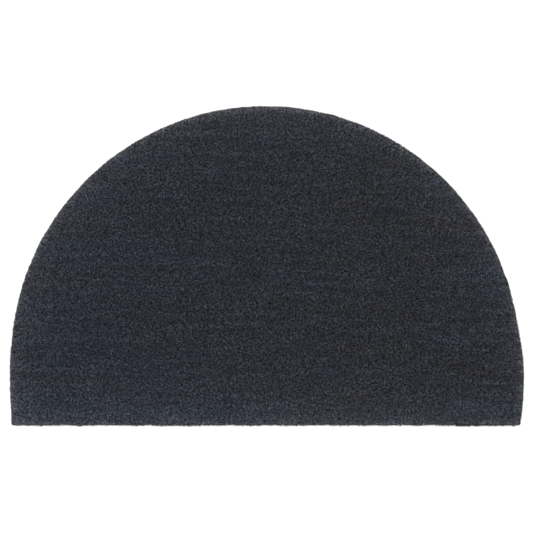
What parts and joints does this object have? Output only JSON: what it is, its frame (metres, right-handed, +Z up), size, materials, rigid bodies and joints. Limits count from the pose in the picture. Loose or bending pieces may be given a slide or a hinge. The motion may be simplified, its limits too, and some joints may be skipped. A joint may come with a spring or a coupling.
{
  "type": "half-round coir doormat",
  "caption": "Half-round doormat of dense, dark blue-grey coir pile with a clean-cut edge; lies flat at a door, straight side to the sill, to scrape shoes on.",
  "frame": {"origin": "on the floor, under the middle of the mat's box", "axes": "+X along the straight edge, +Y from the straight edge towards the crown of the arc, +Z up out of the pile"},
  "size_m": [0.8004, 0.4972, 0.0158],
  "materials": {
    "coir": "matt, coarse cut pile of dyed coconut fibre, dark blue-grey with charcoal streaks"
  },
  "bodies": {
    "root": {"coir_mat": "coir"}
  },
  "joints": []
}
